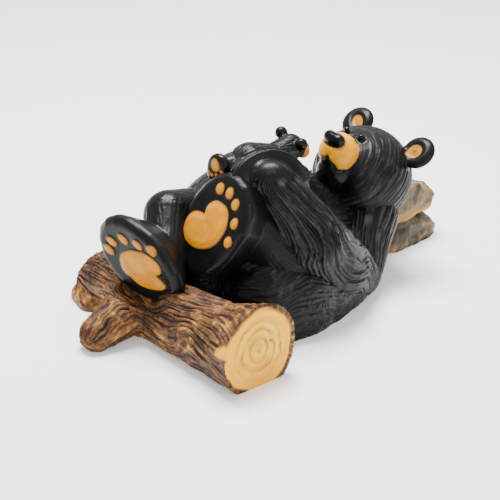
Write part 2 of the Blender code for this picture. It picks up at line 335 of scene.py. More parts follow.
ELBOW_RADIUS = 13
SHOULDER_RADIUS = 17
NEAR_ELBOW = vec(28.5, -44, 12)
NEAR_SHOULDER = vec(54, -31, 39)
NEAR_FOREARM = vec(-15, -45, 49)
NEAR_ARM = (
    (NEAR_ELBOW, ELBOW_RADIUS), (vec(7, -46, 27), 19.5), (NEAR_FOREARM, 20.5), (vec(-32.5, -32, 86), 12.6),
)
HUMP = vec(-36, -33.2, 89.4)
HUMP_RADII = (12.3, 11.4, 8.6)
HUMP_ROOT = 9.3
WRIST_RADII = (13.5, 10, 12)
WRIST_DEPTH = 0.9
HAND = vec(-33, -29, 78)
HAND_LONG = 26.5
HAND_WIDE = 25.5
HAND_THICK = 7.2
HAND_REACH = (27, 26, 8)
HAND_RIM = 0.6
HAND_AXES = frame_of((1, -0.3, 0), (-0.3, -1, 0.3))
FAR_ELBOW = vec(34, 36, 12)
FAR_SHOULDER = vec(54, 14, 39)
FAR_WRIST = vec(-14, 22, 70)
FAR_HAND = vec(-18, 16, 76)

HIP_RADIUS = 25
KNEE_RADIUS = 15
ANKLE_RADIUS = 14
LEGS = {
    "far": (vec(-24, 18, 42), vec(-62, 22, 60), 12),
    "near": (vec(-24, -30, 38), vec(-40, -26, 60), 15),
}
Foot = namedtuple("Foot", "centre forward normal thickness taper")
FEET = {
    "far": Foot(vec(-97, 12, 44), (-0.11, 0.88, 0.47), (-1.0, -0.10, -0.15), 19, 0.69),
    "near": Foot(vec(-66, -16, 66), (0.37, -0.26, 0.89), (-1.0, 0.0, 0.40), 25, 0.92),
}
SOLE_LONG = 32
SOLE_WIDE = 23
SOLE_NARROW = 20
SOLE_EDGE = 5.0
SOLE_STEPS = 20
PAD_RISE = 0.9
ANKLE_INSET = 16
ANKLE_BACK = 8
TOES = {
    "far": ((19.6, 6.5), (19.6, -0.3), (13.5, -8.4), (3.5, -13.5), (-6.2, -18.0)),
    "near": ((20.3, 6.3), (21.7, -1.1), (18.6, -8.2), (9.7, -13.3), (-0.9, -15.2)),
}
TOE_SHAPE = {"far": (4.0, 2.7), "near": (3.5, 2.9)}
PADS = {
    "far": (
        (-14.5, -5.1), (-16.8, -9.9), (-13.2, -14.5), (-3.9, -13), (6.4, -6), (11.5, 3.1),
        (7.6, 11), (-0.2, 12), (-9.7, 10), (-20, 2.3), (-22.6, -3.7), (-19.1, -5.3),
    ),
    "near": (
        (3, 8.5), (8.5, 9), (13.8, 4.7), (14.1, -3.3), (9.6, -8.3), (2.3, -10.2), (-6.5, -8.5),
        (-13.9, -1.8), (-16.7, 8), (-14, 15.6), (-7.2, 18.3), (-0.1, 16), (2.7, 11.6),
    ),
}

CUB_RUMP = vec(-25, -6, 89)
CUB_CHEST = vec(-8, -8, 86)
CUB_SKULL = vec(6, -8.7, 91)
CUB_SNOUT = CUB_SKULL + vec(9, -1.2, -4.6)
CUB_NOSE = CUB_SKULL + vec(12.6, -0.7, -3.2)
CUB_FOOT = vec(-46, -2.5, 91.3)
CUB_PAD = ((-3.2, 92.8, 3.3), (-2.9, 94.9, 2.5))
CUB_TOES = ((2.4, 88.4), (-0.4, 87.1), (-4.0, 87.6), (-7.6, 90.6))
CUB_TOE_RADIUS = 1.4
CUB_EAR_RADIUS = 3.7
CUB_FOOT_EDGE = 3
CUB_FOOT_STEPS = 16

LOG_TURN = radians(-5.5)
LOG_PLACE = vec(-82.5, 0, 0)
LOG_LENGTH = 154
CUT_END = -LOG_LENGTH / 2
LOG_NEAR = 24.5
LOG_NARROW = LOG_NEAR * 0.79
LOG_FAR = 15.0
LOG_SINK = 1.5
LOG_STEPS = 48
STUB_LENGTH = 34
STUB_RADIUS = 12.5
STUB_ROOT = LOG_PLACE + vec(-10, 17, LOG_NEAR * 0.68)
STUB_TIP = STUB_ROOT + vec(-STUB_LENGTH * 0.86, 1, -STUB_LENGTH * 0.26)
KNOT_Y = -37
KNOT_Z = 20
KNOT_RADIUS = 5.6
BARK_COLUMNS = 27
STUB_COLUMNS = 15
BARK_RELIEF = 2.0
CUT_RADIUS = 23.6
CUT_MIDDLE = (0.6, 3.2)
RING_RATE = 1.25

LOWER_STONE = (59, 56, 27)
UPPER_STONE = (56, 48, 29)
STONE_LAP = 10
STONE_SINK = 6
HEAD_BITE = 9
STONE_EDGE = 4
STONE_FACETS = 26
SEAM_HEIGHT = 21.5
SEAM_WIDTH = 3.4


def union(distances, soft):
    """The smooth union of distances."""
    return -soft * np.log(sum(np.exp(-np.clip(d, -40, 60) / soft) for d in distances))


def rounded(points, steps=6):
    """A smooth closed line through the points, with a sharp corner at the first."""
    chain = [np.array(p, float) for p in (points[0], *points, points[0], points[0])]
    line = []
    for a, b, c, d in zip(chain, chain[1:], chain[2:], chain[3:]):
        for step in range(steps):
            t = step / steps
            square = (2 * a - 5 * b + 4 * c - d) * t ** 2
            line.append(b + 0.5 * ((c - a) * t + square + (3 * b - a - 3 * c + d) * t ** 3))
    return np.array(line)


def depth_inside(u, v, line):
    """How far inside a closed line each place lies, below 0 outside it."""
    gap = np.full(len(u), 1e9)
    crossed = np.zeros(len(u), bool)
    for (a, b), (c, d) in zip(line, np.roll(line, -1, 0)):
        t = np.clip(((u - a) * (c - a) + (v - b) * (d - b)) / ((c - a) ** 2 + (d - b) ** 2), 0, 1)
        gap = np.minimum(gap, np.hypot(u - a - t * (c - a), v - b - t * (d - b)))
        crossed ^= ((b > v) != (d > v)) & (u < (c - a) * (v - b) / (d - b + 1e-12) + a)
    return np.where(crossed, gap, -gap)


# Materials

class Tree:
    """Short calls for building a material's node tree."""

    def __init__(self, name):
        self.mat = bpy.data.materials.new(name)
        self.mat.use_nodes = True
        self.tree = self.mat.node_tree
        self.shader = self.tree.nodes["Principled BSDF"]

    def new(self, kind, inputs=None, **settings):
        node = self.tree.nodes.new(kind)
        for key, value in settings.items():
            setattr(node, key, value)
        for key, value in (inputs or {}).items():
            self.put(node.inputs[key], value)
        return node

    def put(self, socket, value):
        if isinstance(value, bpy.types.NodeSocket):
            self.tree.links.new(value, socket)
        else:
            socket.default_value = value

    def value(self, name):
        return self.new("ShaderNodeAttribute", attribute_name=name).outputs["Fac"]

    def noise(self, scale, detail=3.0, rough=0.55):
        place = self.new("ShaderNodeTexCoord").outputs["Object"]
        node = self.new("ShaderNodeTexNoise", {
            "Vector": place, "Scale": scale, "Detail": detail, "Roughness": rough,
        })
        return node.outputs["Fac"]

    def ramp(self, value, *stops):
        node = self.new("ShaderNodeValToRGB", {"Fac": value})
        ramp = node.color_ramp
        while len(ramp.elements) < len(stops):
            ramp.elements.new(0.5)
        for element, (where, colour) in zip(ramp.elements, stops):
            element.position = where
            element.color = (*colour, 1)
        return node.outputs["Color"]

    def span(self, value, low, high, to_low=0.0, to_high=1.0):
        node = self.new("ShaderNodeMapRange", {
            "Value": value, "From Min": low, "From Max": high, "To Min": to_low, "To Max": to_high,
        })
        return node.outputs["Result"]

    def math(self, operation, a, b=0.0):
        node = self.new("ShaderNodeMath", operation=operation)
        self.put(node.inputs[0], a)
        self.put(node.inputs[1], b)
        return node.outputs[0]

    def mix(self, share, a, b):
        node = self.new("ShaderNodeMix", data_type="RGBA")
        self.put(node.inputs[0], share)
        for socket, value in ((node.inputs[6], a), (node.inputs[7], b)):
            self.put(socket, (*value, 1) if isinstance(value, tuple) else value)
        return node.outputs[2]

    def bump(self, height, strength, distance, normal=None):
        node = self.new("ShaderNodeBump", {"Height": height, "Strength": strength, "Distance": distance})
        if normal:
            self.put(node.inputs["Normal"], normal)
        return node.outputs["Normal"]

    def finish(self, colour, roughness, normal, specular=None):
        self.put(self.shader.inputs["Base Color"], colour)
        self.put(self.shader.inputs["Roughness"], roughness)
        self.put(self.shader.inputs["Normal"], normal)
        if specular is not None:
            self.put(self.shader.inputs["Specular IOR Level"], specular)
        return self.mat


BLACKS = ((0.0025, 0.0025, 0.0028), (0.0055, 0.0054, 0.0056))
# Grey on the fur's crests: partly dry-brushed paint, partly painted highlight
DRYBRUSH_AND_HIGHLIGHT_GREY = (0.072, 0.0715, 0.072)
COAT_OCHRE = (0.65, 0.250, 0.001)
# Painted light: a darker copy of the coat's ochre for the far paw, dimmed against the floor's light and sheen
# on its sole
FAR_LEG_OCHRE_DIMMED_FOR_LIGHT = (0.56, 0.225, 0.0)
# Painted light: the head's ochre is a brighter copy of the coat's, lifted to make up for the shade on the
# muzzle
HEAD_OCHRE_LIFTED_FOR_SHADE = (0.92, 0.400, 0.001)
OCHRE_DEPTH = 2.6
OCHRE_STOPS = ((0.0, 0.14), (0.14, 0.47), (0.36, 0.90), (1.0, 1.0))
COAT_SPECULAR = 0.14

BARK_STOPS = (
    (0.0, (0.003, 0.0015, 0.001)), (0.28, (0.018, 0.007, 0.003)), (0.52, (0.075, 0.030, 0.010)),
    (0.80, (0.200, 0.088, 0.022)), (1.0, (0.52, 0.27, 0.065)),
)
CREAMS = ((0.80, 0.40, 0.004), (0.94, 0.60, 0.040))
CREAM_STAIN = (0.50, 0.215, 0.012)
RING_BROWN = (0.40, 0.165, 0.008)
RIM_OCHRE = (0.88, 0.42, 0.004)
RIM_BROWN = (0.26, 0.09, 0.006)
BARK_SPECULAR = 0.2

UPPER_STOPS = ((0.30, (0.066, 0.044, 0.020)), (0.5, (0.160, 0.115, 0.056)), (0.72, (0.28, 0.212, 0.115)))
LOWER_STOPS = ((0.30, (0.030, 0.028, 0.013)), (0.52, (0.070, 0.060, 0.030)), (0.72, (0.150, 0.113, 0.055)))
STONE_STAIN = (0.31, 0.135, 0.022)
STONE_SPECK = (0.025, 0.018, 0.009)
SEAM_OCHRE = (0.36, 0.175, 0.026)
STONE_DUST = (0.38, 0.29, 0.17)
# Painted shade, laid on the stones beside the head
PAINTED_SHADE_BROWN = (0.030, 0.018, 0.007)
STONE_SPECULAR = 0.25


def coat_material(name, ochre_paint):
    """Black paint dry-brushed grey on the tufts, partly its own paint and partly painted highlight; ochre
    paint where the value gold is above 0.
    """
    t = Tree(name)
    fur_height = t.value("fur")
    gold = t.value("gold")
    gloss = t.value("gloss")
    cloud = t.noise(38, 4)
    grain = t.noise(900, 3)
    scratch = t.noise(260, 4)
    # Partly painted highlight: the crests take the dry-brushed grey
    drybrush_and_highlight = t.math("MULTIPLY", t.span(fur_height, 0.64, 1.0), t.span(scratch, 0.32, 0.62))
    black = t.mix(t.span(cloud, 0.3, 0.7), *BLACKS)
    black = t.mix(t.math("MULTIPLY", drybrush_and_highlight, 0.8), black, DRYBRUSH_AND_HIGHLIGHT_GREY)
    edge = t.math("ADD", gold, t.span(t.noise(700, 2), 0, 1, -0.35, 0.35))
    red, green, blue = ochre_paint
    shades = [(where, (red * share, green * share ** 1.15, blue)) for where, share in OCHRE_STOPS]
    ochre = t.ramp(t.span(gold, 0.0, OCHRE_DEPTH), *shades)
    blotched = t.span(t.noise(150, 5, 0.65), 0.38, 0.66, 0.0, 0.65)
    blotch = t.mix(blotched, ochre, (red * 0.64, green * 0.56, blue))
    pale = t.mix(t.span(t.noise(90, 3), 0.55, 0.8, 0.0, 0.3), blotch, (red, green * 1.3, blue * 3))
    is_gold = t.span(edge, -0.12, 0.12)
    colour = t.mix(is_gold, black, pale)
    rough_black = t.span(cloud, 0.2, 0.8, 0.26, 0.38)
    rough = t.math("ADD", rough_black, t.span(grain, 0.2, 0.8, -0.04, 0.05))
    rough = t.math("SUBTRACT", rough, t.math("MULTIPLY", gloss, 0.22))
    rough = t.math("ADD", rough, t.math("MULTIPLY", is_gold, 0.10))
    normal = t.bump(grain, 0.22, 0.0003, t.bump(scratch, 0.30, 0.0005))
    return t.finish(colour, rough, normal, COAT_SPECULAR)


def bark_material():
    """Brown bark, darker in its cuts and lighter on its ridges, partly its own paint and partly painted shade
    and highlight, and cream wood with growth rings where the value cut is above 0.
    """
    t = Tree("painted_bark")
    ridge = t.value("ridge")
    cut = t.value("cut")
    ring = t.value("ring")
    fine = t.noise(330, 5, 0.65)
    cloud = t.noise(45, 4, 0.6)
    lit = t.math("ADD", ridge, t.span(fine, 0.25, 0.75, -0.28, 0.28))
    lit = t.math("ADD", lit, t.span(cloud, 0.3, 0.7, -0.20, 0.17))
    # Partly painted shade and highlight: near black in the cuts, tan on the ridges
    bark = t.ramp(lit, *BARK_STOPS)
    wobble = t.span(t.noise(75, 4), 0.2, 0.8, -2.6, 2.6)
    phase = t.math("SINE", t.math("MULTIPLY", t.math("ADD", ring, wobble), RING_RATE))
    thin = t.math("POWER", t.span(phase, -1, 1), 2.6)
    ringed = t.math("MULTIPLY", thin, t.span(t.noise(70, 3), 0.36, 0.58, 0.15, 1.0))
    cream = t.mix(t.span(cloud, 0.35, 0.65), *CREAMS)
    cream = t.mix(t.span(t.noise(120, 5, 0.7), 0.48, 0.75, 0.0, 0.6), cream, CREAM_STAIN)
    cream = t.mix(ringed, cream, RING_BROWN)
    wear_and_highlight = t.math("ADD", cut, t.span(t.noise(160, 4), 0, 1, -1.6, 1.6))
    wood = t.mix(t.span(wear_and_highlight, 3.5, 9.0), RIM_OCHRE, cream)
    wood = t.mix(t.span(wear_and_highlight, 0.2, 1.6), RIM_BROWN, wood)
    colour = t.mix(t.span(wear_and_highlight, -0.4, 0.4), bark, wood)
    rough = t.span(fine, 0.2, 0.8, 0.42, 0.62)
    return t.finish(colour, rough, t.bump(fine, 0.5, 0.0008), BARK_SPECULAR)


def stone_material():
    """Mottled stone: greener where low is 1, ochre along the seam and painted shade in dark brown where shade
    is above 0.
    """
    t = Tree("painted_stone")
    seam = t.value("seam")
    low = t.value("low")
    shade = t.value("shade")
    cloud = t.noise(55, 5, 0.6)
    fine = t.noise(420, 5, 0.7)
    spots = t.noise(170, 4, 0.6)
    stone = t.mix(low, t.ramp(cloud, *UPPER_STOPS), t.ramp(cloud, *LOWER_STOPS))
    stone = t.mix(t.span(spots, 0.53, 0.68, 0.0, 0.8), stone, STONE_STAIN)
    stone = t.mix(t.span(t.noise(240, 4), 0.55, 0.68, 0.0, 0.8), stone, STONE_SPECK)
    wear_and_highlight = t.math("ADD", seam, t.span(spots, 0.3, 0.7, -0.25, 0.25))
    stone = t.mix(t.span(wear_and_highlight, 0.35, 0.8, 0.0, 0.85), stone, SEAM_OCHRE)
    stone = t.mix(t.span(fine, 0.5, 0.8, 0.0, 0.2), stone, STONE_DUST)
    # Painted shade in dark brown where shade is above 0
    stone = t.mix(t.math("MULTIPLY", shade, t.span(spots, 0.3, 0.55, 0.65, 1.0)), stone, PAINTED_SHADE_BROWN)
    rough = t.span(fine, 0.2, 0.8, 0.40, 0.60)
    normal = t.bump(fine, 0.45, 0.0007, t.bump(spots, 0.35, 0.0012))
    return t.finish(stone, rough, normal, STONE_SPECULAR)


COAT = coat_material("painted_coat", COAT_OCHRE)
# The far leg takes the darker ochre, dimmed against the light on its sole
FAR_LEG_COAT_DIMMED_FOR_LIGHT = coat_material("painted_far_leg", FAR_LEG_OCHRE_DIMMED_FOR_LIGHT)
# The head takes the brighter ochre, painted light over the shaded muzzle
HEAD_COAT_LIFTED_FOR_SHADE = coat_material("painted_head", HEAD_OCHRE_LIFTED_FOR_SHADE)
BARK = bark_material()
STONE = stone_material()


# The trunk and the near arm

def tally(places):
    """Three rows of short plain cuts, from 0 to 1, on the bear's near flank."""
    a, b, c = seen_from(places, TALLY_PLACE, PHOTO_AXES)
    row = np.round(b / TALLY_ROW)
    up = abs(b - row * TALLY_ROW)
    stroke = a / TALLY_STEP + 0.35 * np.sin(row * 2.3 + a) + 0.12 * (b - row * TALLY_ROW)
    length = 1.3 + 0.6 * np.sin(np.round(stroke) * 2.9 + row)
    cut = peak(stroke, np.round(stroke), 0.2) * (1 - smooth_step(up, length - 0.5, length + 0.3))
    return cut * (abs(a) < TALLY_REACH) * (abs(row) < 1.5) * (abs(c) < TALLY_REACH + 1)


def torso():
    """The trunk, the hips and the far arm."""
    form = Form()
    for centre, radii in TRUNK_BALLS:
        form.ball(centre, radii)
    form.hull(*CHEST)
    form.hull(*UNDERSIDE)
    form.limb((FAR_ELBOW, ELBOW_RADIUS), (vec(10, 34, 42), 16), (FAR_WRIST, 13))
    form.limb((FAR_ELBOW, ELBOW_RADIUS), (FAR_SHOULDER, SHOULDER_RADIUS))
    form.ball(FAR_HAND, (17, 14, 9), frame_of((1, 0, 0), (0, 1, 0.6)))
    skin = Skin(form, "bear_body", voxel=0.88, rounds=6)
    belly = Bone(
        vec(30, -4, 26), vec(-60, -4, 26), radii=(44, 42), columns=66, length=13,
        depths=(0.2, 0.8, 0.5), bend=0.9,
    )
    chest = Bone(
        vec(62, -12, 40), vec(22, -8, 40), radii=(27, 34), columns=48, length=12,
        depths=(0.3, 0.6, 0.4), bend=0.8,
    )
    forearm = Bone(FAR_WRIST, FAR_ELBOW, radii=(13, 14), columns=22, length=20, depths=(0.5, 0.6, 0.2))
    upper_arm = Bone(FAR_SHOULDER, FAR_ELBOW, radii=(17, 13), columns=24, length=20, depths=(0.5, 0.6, 0.2))
    swell = 0.3 * noise3(skin.places, 18, 5)
    height, share = fur(skin.places, [belly, chest, forearm, upper_arm], seed=1)
    calm = np.exp(-np.sum((skin.places - np.array((24, -18, 60))) ** 2, axis=1) / 22 ** 2)
    height = height * (1 - 0.15 * calm) - TALLY_DEPTH * tally(skin.places)
    # The crests' grey fades towards the bottom, so the lower trunk is darker
    share = share * (1 - 0.12 * calm) * (0.84 + 0.16 * smooth_step(skin.places[:, 2], 15, 45))
    skin.push(height + swell)
    skin.values = {"fur": share, "gold": np.full(len(share), NO_GOLD), "gloss": np.zeros(len(share))}
    skin.finish(COAT, "black_paint")


def near_arm():
    """The near arm with its wrist's hump and the flat hand behind it."""
    form = Form()
    form.limb(*NEAR_ARM)
    form.limb((NEAR_ELBOW, ELBOW_RADIUS), (NEAR_SHOULDER, SHOULDER_RADIUS))
    form.ball(HUMP, HUMP_RADII, PHOTO_AXES)
    form.hull((HUMP, HUMP_ROOT), NEAR_ARM[2])
    form.ball(HAND, (HAND_LONG, HAND_WIDE, HAND_THICK), HAND_AXES)
    skin = Skin(form, "bear_near_arm", voxel=0.62, rounds=14)
    wrist_fur = Bone(
        vec(-36, -33, 96), NEAR_FOREARM, radii=(12, 20.5), columns=22, length=34,
        depths=(2.5, 1.7, 0.5), bend=0.8, up=(-0.5, 0.8, 0.2),
    )
    forearm = Bone(
        NEAR_FOREARM, NEAR_ELBOW, radii=(20.5, 13), columns=22, length=34,
        depths=(1.6, 1.4, 0.45), bend=0.8, up=(-0.5, 0.8, 0.2),
    )
    upper_arm = Bone(
        NEAR_SHOULDER, NEAR_ELBOW, radii=(17, 13), columns=22, length=30,
        depths=(0.8, 0.9, 0.35), bend=0.5, up=(0.2, 0.9, 0),
    )
    height, share = fur(skin.places, [wrist_fur, forearm, upper_arm], seed=4)
    u, v, w = seen_from(skin.places, HUMP, PHOTO_AXES)
    wrist = 1 - smooth_step(ellipsoid(u, v - 5, w, WRIST_RADII), 0.55, 1.2)
    # A painted highlight: a lighter grey patch at the hump's lower right
    wear_and_highlight = 1.1 * np.exp(-((u - 6) ** 2 + (v + 1.5) ** 2) / 20) * (w > 0)
    hollow = np.exp(-((u + 5.5) ** 2 + (v + 6) ** 2 + (w - 6) ** 2) / 30)
    height = height * (1 - wrist) - WRIST_DEPTH * wrist
    u, v, w = seen_from(skin.places, HAND, HAND_AXES)
    hand = smooth_step(-(ellipsoid(u, v, w, HAND_REACH) - 1), -0.10, 0.02)
    hand *= v > 4
    rim = peak(np.hypot(u / HAND_LONG, v / HAND_WIDE), 0.975, 0.025)
    height = height * (1 - hand) + hand * (0.4 * noise3(skin.places, 9, 6) + HAND_RIM * rim)
    skin.push(height - 2.2 * hollow + 0.25 * noise3(skin.places, 13, 7))
    # The crests' grey, with the painted highlight patch on the hump
    drybrush_and_highlight = np.maximum(share * (1 - hand) * (1 - wrist), wear_and_highlight)
    skin.values = {"fur": drybrush_and_highlight, "gold": np.full(len(share), NO_GOLD), "gloss": hand * 0.3}
    skin.finish(COAT, "black_paint")


# The legs

def foot_axes(side):
    return frame_of(FEET[side].forward, FEET[side].normal)


def foot_form(form, side):
    """A thick flat-soled paw: wide at the toes and tapered away from the sole."""
    foot = FEET[side]
    ahead, across, out = foot_axes(side).col
    heel = SOLE_WIDE if side == "far" else SOLE_NARROW
    balls = []
    for step in range(SOLE_STEPS):
        turn = 2 * pi * step / SOLE_STEPS
        behind = heel if sin(turn) < 0 else SOLE_NARROW
        wide = SOLE_WIDE if cos(turn) > 0 else behind
        reach = Vector((SOLE_LONG * cos(turn), wide * sin(turn)))
        reach *= 1 - SOLE_EDGE / reach.length
        for depth, kept in ((SOLE_EDGE, 1), (foot.thickness - SOLE_EDGE, foot.taper)):
            balls.append((foot.centre + (ahead * reach.x + across * reach.y) * kept - out * depth, SOLE_EDGE))
    form.hull(*balls)


def sole(skin, side):
    """Raises the painted pads of a sole, and keeps how deep inside them each place lies."""
    axes = foot_axes(side)
    u, v, w = seen_from(skin.places, FEET[side].centre, axes)
    facing = skin.normals @ np.array(axes.col[2])
    on_sole = smooth_step(facing, 0.35, 0.75) * (abs(w) < 6)
    wobble = 0.15 * noise3(skin.places, 5, 2)
    inside = depth_inside(u, v, rounded(PADS[side]))
    long, wide = TOE_SHAPE[side]
    for a, b in TOES[side]:
        toe = (1 - np.hypot((u - a) / long, (v - b) / wide)) * wide
        inside = np.maximum(inside, toe)
    inside = np.where((facing > 0.15) & (abs(w) < 5), inside + wobble, NO_GOLD)
    raised = PAD_RISE * smooth_step(inside, -0.7, 0.8) + 0.5 * smooth_step(inside, 0.7, 4)
    dish = -0.6 * (1 - smooth_step(np.hypot(u / SOLE_LONG, v / 22.5), 0.45, 0.95))
    uneven = 0.2 * noise3(skin.places, 7, 8)
    return on_sole * (raised + dish + uneven), on_sole, inside


def leg(side, material):
    """A leg from hip to paw."""
    hip, knee, seed = LEGS[side]
    foot = FEET[side]
    axes = foot_axes(side)
    ankle = foot.centre - axes.col[2] * ANKLE_INSET - axes.col[0] * ANKLE_BACK
    form = Form()
    form.limb((hip, HIP_RADIUS), (knee, KNEE_RADIUS), (ankle, ANKLE_RADIUS))
    foot_form(form, side)
    skin = Skin(form, "bear_" + side + "_leg", voxel=0.7, rounds=6)
    thigh = Bone(
        knee, hip, radii=(15, 25), columns=26, length=17, depths=(0.1, 0.4, 0.25), bend=0.7, up=(0, -0.3, -1),
    )
    shin = Bone(
        ankle + axes.col[2] * 8, knee, radii=(15, 15), columns=20, length=14,
        depths=(0.1, 0.3, 0.2), bend=0.5, up=(0, -0.3, -1),
    )
    height, share = fur(skin.places, [thigh, shin], seed)
    u, v, w = seen_from(skin.places, foot.centre, axes)
    wall = smooth_step(-w, foot.thickness - 3, foot.thickness + 6)
    toe_ridges = 0.35 * np.abs(np.sin(np.arctan2(v, u) * 3 + 0.5)) * (1 - wall)
    raised, on_sole, inside = sole(skin, side)
    height = height * wall + toe_ridges + 0.25 * noise3(skin.places, 9, seed) * (1 - wall)
    skin.push(height * (1 - on_sole) + raised - 0.2)
    skin.values = {"fur": 0.8 * share * wall * (1 - on_sole), "gold": inside, "gloss": on_sole * 0.15}
    skin.finish(material, "black_paint")


# The head

def eye_place(side):
    return on_head(28.4, 1.7 + side * 6, 13.4)


def ear_place(side):
    out = BEAR_RIGHT * side + CROWN * 0.9
    return on_head(2, side * 25.5, 28), frame_of(out, FACE)


def head_form():
    form = Form()
    form.ball(HEAD, HEAD_RADIUS)
    form.limb(NECK, (HEAD, 26))
    form.ball(MUZZLE, MUZZLE_RADIUS)
    form.hull((SNOUT, SNOUT_RADIUS), (NOSE - FACE * 3 - CROWN, 5.5))
    form.ball(JAW, JAW_RADIUS)
    nostrils = [(NOSE + BEAR_RIGHT * NOSE_HALF, 4.2), (NOSE - BEAR_RIGHT * NOSE_HALF, 4.2)]
    form.hull(*nostrils, (NOSE - CROWN * 2, 3.4))
    for side in (-1, 1):
        form.ball(eye_place(side), EYE_RADIUS)
        centre, axes = ear_place(side)
        form.ball(centre, EAR_RADII, axes)
        form.limb((centre - axes.col[0] * 10, 6), (HEAD, 6))
    return form


def ears(skin):
    """Where the ears are, how deep their dishes go, and the ochre in them."""
    covered = np.zeros(len(skin.places))
    gold = np.full(len(skin.places), NO_GOLD)
    dish = np.zeros(len(skin.places))
    for side in (-1, 1):
        centre, axes = ear_place(side)
        u, v, w = seen_from(skin.places, centre, axes)
        near = smooth_step(-np.hypot(u, v), -13, -11) * (u > -8)
        covered = np.maximum(covered, near)
        front = (w > 0) & (w < 8) & (skin.normals @ np.array(FACE) > 0.2)
        shift, width = (0.8, 0.76) if side > 0 else (0, 1.0)
        hollow = np.hypot((u + 1.4) / 1.05, (v + shift) / width)
        dish -= front * near * (2.0 * (1 - smooth_step(hollow, 2.5, 8.5)))
        # The ochre is darkest in the middle of each dish and lightens outwards
        paint = np.minimum(4.9 - hollow, 0.06 + 0.05 * hollow)
        gold = np.where(front & (near > 0.5), np.maximum(gold, paint), gold)
    return covered, dish, gold


def head():
    """The head: fur swept back round a smooth face, ochre muzzle and ear dishes, black nose and eyes."""
    skin = Skin(head_form(), "bear_head", voxel=0.62, rounds=5)
    places = skin.places
    face, right, crown = seen_from(places, HEAD, HEAD_AXES)
    size = np.sqrt(face ** 2 + right ** 2 + crown ** 2)

    polar = np.arccos(np.clip(face / size, -1, 1)) * 30
    sweep = np.abs(np.arctan2(right, crown)) * 24
    column = polar / HEAD_LOCK + 0.5 * noise3(places, 24, 3) + 0.15 * noise3(places, 9, 5)
    column = column + (right > 0) * 0.37
    coarse = strokes(sweep, column, 34, 21)
    fine = strokes(sweep, column * 1.7, 18, 22, 0.15)
    share = 0.94 * (0.6 * coarse + 0.4 * fine)

    around = np.hypot(right - 1.5, crown) + 0.5 * noise3(places, 16, 8)
    in_front = smooth_step(face, 0, 6)
    disc = in_front * (1 - smooth_step(around, 19, 26))
    ruff = in_front * (peak(around, RUFF_INNER, RUFF_WIDTH) + 0.8 * peak(around, RUFF_OUTER, RUFF_WIDTH))
    ruff *= smooth_step(-crown, -17, -11)

    muzzle_gap = distance(places, MUZZLE)
    off_muzzle = smooth_step(muzzle_gap, 12.9, 14.2)
    covered, dish, gold = ears(skin)
    jaw = smooth_step(-distance(places, JAW), -18, -14)
    nose_u, nose_v, nose_w = seen_from(places, NOSE, HEAD_AXES)
    nose = -(ellipsoid(nose_v, nose_w + 0.6, nose_u, NOSE_REACH) - 1) * 5
    mouth_line = crown + 11.2 - 2.2 * peak(right, -1.5, 1.6)
    snout_gap = np.minimum(muzzle_gap - 13.0, distance(places, SNOUT) - 11.4)
    gold_muzzle = np.minimum(np.minimum(-snout_gap, mouth_line), -nose - 0.1)
    gold = np.maximum(gold, np.where(face > 18, gold_muzzle, NO_GOLD))
    eyes = np.zeros(len(size))
    socket = np.zeros(len(size))
    for side in (-1, 1):
        gap = distance(places, eye_place(side))
        eyes = np.maximum(eyes, smooth_step(-gap, -EYE_EDGE, -3.0))
        socket = np.maximum(socket, 0.25 * peak(gap, SOCKET_RADIUS, 0.9))
        gold = np.where(gap < 4.2, NO_GOLD, gold)

    on_nose = smooth_step(nose, -0.8, 0.2)
    bare = np.maximum.reduce([eyes, covered * 0.85, on_nose, 1 - off_muzzle, jaw * in_front])
    depth = (0.95 * (1 - disc) + 0.2 * disc) * (1 - bare)
    height = share * depth + 0.5 * ruff * (1 - bare) + dish - 0.5
    mouth = peak(mouth_line, -0.2, 0.7) * (1 - off_muzzle) * (face > 26)
    height += 0.25 * noise3(places, 5, 4) * (1 - off_muzzle) - 0.8 * mouth + 0.5 * socket
    skin.push(height)
    gloss = np.maximum.reduce([eyes * 1.2, smooth_step(nose, -0.4, 0.1), jaw * 0.6])
    skin.values = {"fur": share * (1 - bare), "gold": gold, "gloss": gloss}
    skin.finish(HEAD_COAT_LIFTED_FOR_SHADE, "black_paint")


# The cub

